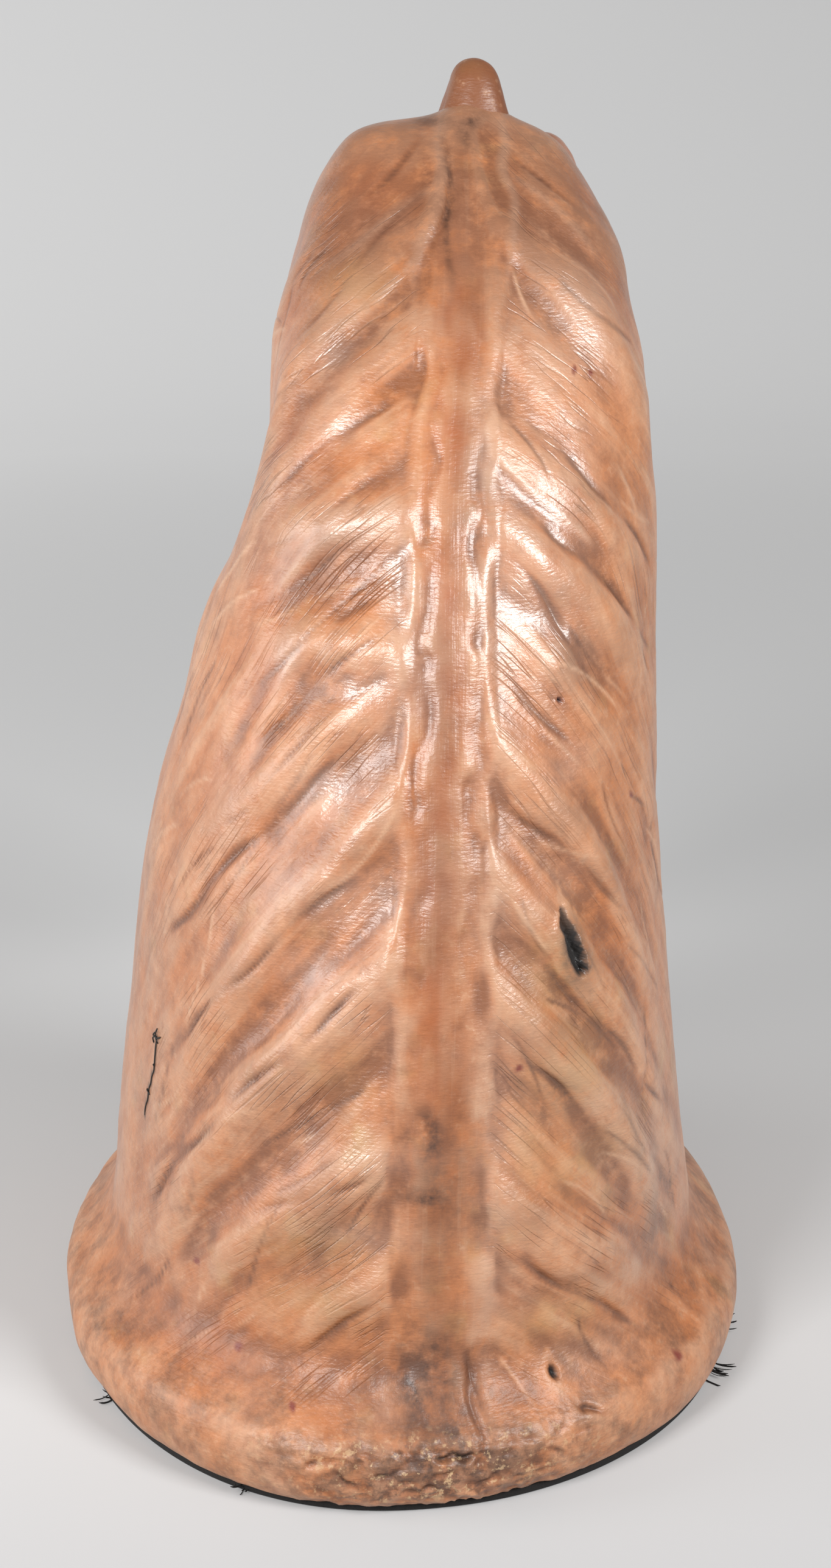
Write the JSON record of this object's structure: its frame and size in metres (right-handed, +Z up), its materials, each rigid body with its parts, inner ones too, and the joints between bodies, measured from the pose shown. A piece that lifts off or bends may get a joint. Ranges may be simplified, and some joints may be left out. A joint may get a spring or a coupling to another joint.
{
  "type": "horse head bust",
  "caption": "Leather-covered horse head and neck on a rolled oval rim, with a ridged crest band, folded leather along the neck, and a thin felt-covered base pad.",
  "frame": {"origin": "on the ground, at the middle of the base pad's underside", "axes": "+Z up, the horse faces -Y, its left side is +X"},
  "size_m": [0.3821, 0.6026, 0.677],
  "materials": {
    "leather": "waxed, worn glossy on the folds",
    "felt": "matte"
  },
  "bodies": {
    "root": {"horse_bust": "leather", "base_pad": "felt"}
  },
  "joints": []
}
